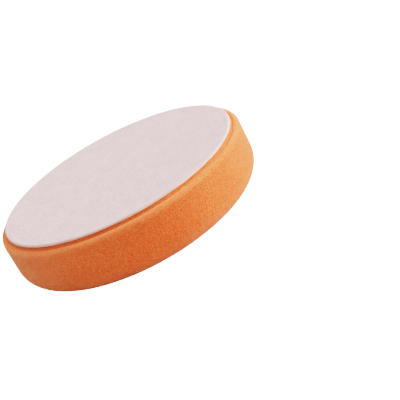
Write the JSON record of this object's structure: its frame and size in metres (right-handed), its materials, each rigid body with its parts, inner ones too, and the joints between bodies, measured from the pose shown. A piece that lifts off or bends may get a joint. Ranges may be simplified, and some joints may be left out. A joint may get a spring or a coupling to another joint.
{
  "type": "polishing pad",
  "caption": "Round open-cell foam polishing pad with a rolled working edge and a loop-fabric back that grips a machine's backing plate.",
  "frame": {"origin": "centre of the working face, the face that touches the paint", "axes": "+Z along the pad's axis, from the working face out through the loop backing; X and Y lie in the working face"},
  "size_m": [0.16, 0.16, 0.0365],
  "materials": {
    "foam": "orange open-cell polyurethane foam, matt, fine sandy grain",
    "glue": "thin set hot-melt glue, tan where it shows at the rim",
    "loop_fabric": "white brushed nylon loop fabric, matt"
  },
  "bodies": {
    "root": {"foam_body": "foam", "glue_layer": "glue", "loop_backing": "loop_fabric"}
  },
  "joints": []
}
